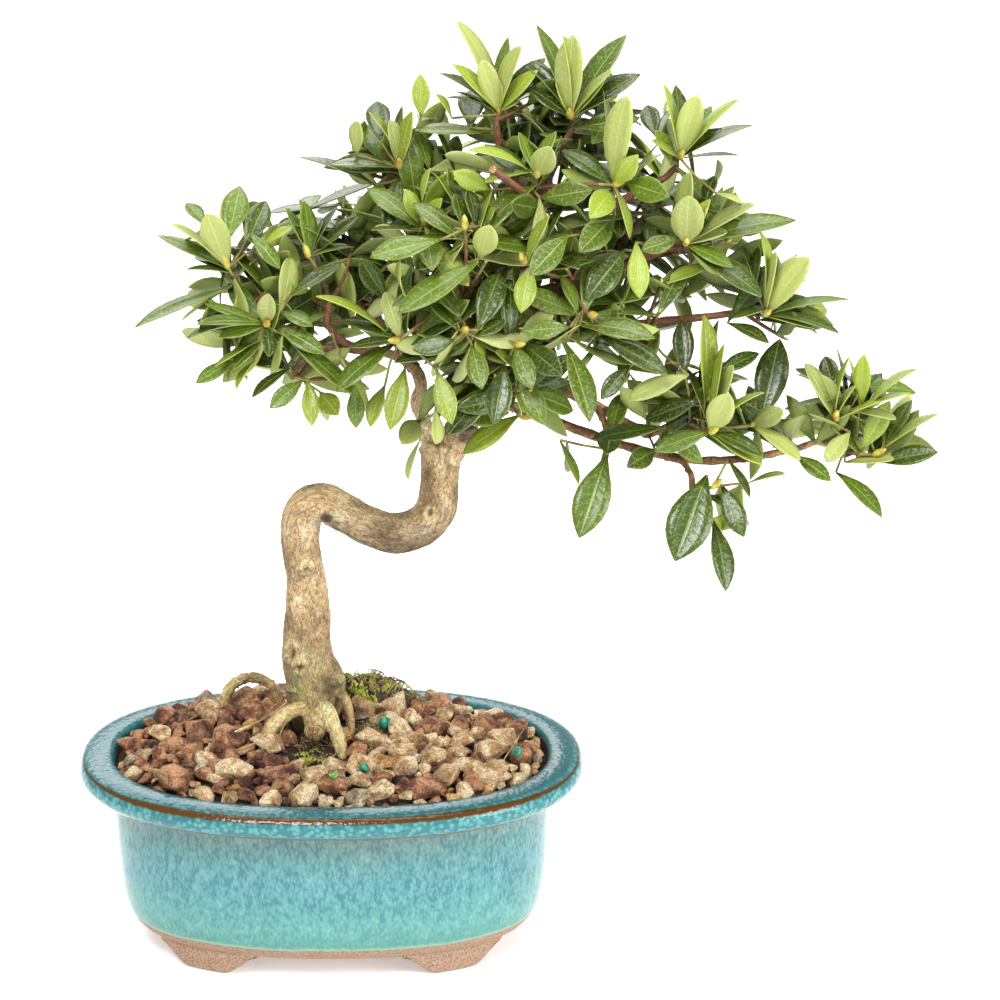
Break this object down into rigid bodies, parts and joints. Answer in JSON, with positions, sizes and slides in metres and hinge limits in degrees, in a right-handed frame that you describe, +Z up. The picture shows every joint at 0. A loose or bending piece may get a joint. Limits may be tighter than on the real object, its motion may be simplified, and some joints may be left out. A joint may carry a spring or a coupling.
{
  "type": "azalea bonsai in an oval pot",
  "caption": "Azalea bonsai with an S-curved trunk, open crown of leaf pads, mounded gravel and moss, in an oval turquoise glazed pot with bracket feet.",
  "frame": {"origin": "bottom centre of the whole plant's box, at the level the pot's feet stand on", "axes": "+X along the pot's long side, towards the crown's long reach; +Y towards the back; +Z up"},
  "size_m": [0.2856, 0.12, 0.3173],
  "materials": {
    "glaze": "gloss",
    "gravel": "matte",
    "moss": "matte",
    "bark": "matte",
    "foliage": "satin"
  },
  "bodies": {
    "root": {"bough_back": "bark", "bough_back_right": "bark", "bough_back_top": "bark", "bough_front_left": "bark", "bough_front_low": "bark", "bough_front_right": "bark", "bough_front_top": "bark", "bough_hanging": "bark", "bough_leader": "bark", "bough_left": "bark", "bough_left_back": "bark", "bough_left_inner": "bark", "bough_left_low": "bark", "bough_low_spray": "bark", "bough_outer": "bark", "bough_right_inner": "bark", "bough_right_low": "bark", "bough_right_middle": "bark", "bough_right_upper": "bark", "bough_top_left": "bark", "bough_top_right": "bark", "bough_upper_left": "bark", "gravel": "gravel", "leaves_back": "foliage", "leaves_back_right": "foliage", "leaves_back_top": "foliage", "leaves_front_left": "foliage", "leaves_front_low": "foliage", "leaves_front_right": "foliage", "leaves_front_top": "foliage", "leaves_hanging": "foliage", "leaves_left_back": "foliage", "leaves_left_inner": "foliage", "leaves_left_low": "foliage", "leaves_left_outer": "foliage", "leaves_low_spray": "foliage", "leaves_outer_pad": "foliage", "leaves_right_inner": "foliage", "leaves_right_middle": "foliage", "leaves_right_pad": "foliage", "leaves_right_upper": "foliage", "leaves_top": "foliage", "leaves_top_left": "foliage", "leaves_top_right": "foliage", "leaves_upper_left": "foliage", "moss_bank": "moss", "pot": "glaze", "root_loop": "bark", "trunk": "bark"}
  },
  "joints": []
}
